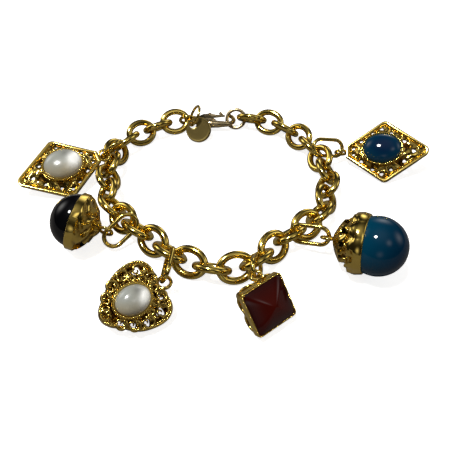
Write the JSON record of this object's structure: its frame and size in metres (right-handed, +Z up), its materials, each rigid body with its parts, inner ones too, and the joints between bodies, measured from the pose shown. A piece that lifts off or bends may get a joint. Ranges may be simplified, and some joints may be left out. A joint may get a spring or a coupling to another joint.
{
  "type": "charm bracelet",
  "caption": "Gold-plated charm bracelet of oval cable links with a lobster clasp, a round tag and charms set with pearl, onyx, blue and red cabochons, lying in an open loop.",
  "frame": {"origin": "on the surface below the middle of the bracelet's box", "axes": "+Z up from the surface, +Y from the front of the loop to the clasp, +X from the pearl lozenge to the blue lozenge"},
  "size_m": [0.11, 0.08, 0.0146],
  "materials": {
    "chain_gold": "high polish gold plate",
    "clasp_gold": "pale gold plate, polished casting",
    "tag_gold": "gold plate, satin face and polished rim",
    "setting_gold": "gold-plated casting, polished rims over a cast leaf ground",
    "pearl": "pearl-coated cabochon, soft lustre",
    "onyx": "polished black stone",
    "red_stone": "polished dark red stone",
    "blue_stone": "polished deep blue stone"
  },
  "bodies": {
    "bracelet": {"link_01": "chain_gold", "link_02": "chain_gold", "link_03": "chain_gold", "link_04": "chain_gold", "link_05": "chain_gold", "link_06": "chain_gold", "link_07": "chain_gold", "link_08": "chain_gold", "link_09": "chain_gold", "link_10": "chain_gold", "link_11": "chain_gold", "link_12": "chain_gold", "link_13": "chain_gold", "link_14": "chain_gold", "link_15": "chain_gold", "link_16": "chain_gold", "link_17": "chain_gold", "link_18": "chain_gold", "link_19": "chain_gold", "link_20": "chain_gold", "link_21": "chain_gold", "link_22": "chain_gold", "link_23": "chain_gold", "link_24": "chain_gold", "link_25": "chain_gold", "link_26": "chain_gold", "link_27": "chain_gold", "link_28": "chain_gold", "link_29": "chain_gold", "link_30": "chain_gold", "end_ring": "chain_gold", "clasp_ring": "chain_gold", "tag_ring": "chain_gold", "tag": "tag_gold", "clasp_body": "clasp_gold", "pearl_lozenge_bail": "chain_gold", "pearl_lozenge_setting": "setting_gold", "pearl_lozenge_stone": "pearl", "black_dome_bail": "chain_gold", "black_dome_cap": "setting_gold", "black_dome_stone": "onyx", "pearl_heart_bail": "chain_gold", "pearl_heart_setting": "setting_gold", "pearl_heart_stone": "pearl", "red_square_bail": "chain_gold", "red_square_setting": "setting_gold", "red_square_stone": "red_stone", "blue_dome_bail": "chain_gold", "blue_dome_cap": "setting_gold", "blue_dome_stone": "blue_stone", "blue_lozenge_bail": "chain_gold", "blue_lozenge_setting": "setting_gold", "blue_lozenge_stone": "blue_stone"},
    "lever": {"clasp_lever": "clasp_gold"}
  },
  "joints": [
    {"name": "lever_hinge", "type": "hinge", "parent": "bracelet", "child": "lever", "pos_m": [-0.00556, 0.03797, 0.0023], "axis": [0, 0, 1], "range_deg": [-20, 0], "stiffness_Nm_per_rad": 0.01, "springref_deg": 11.46}
  ]
}
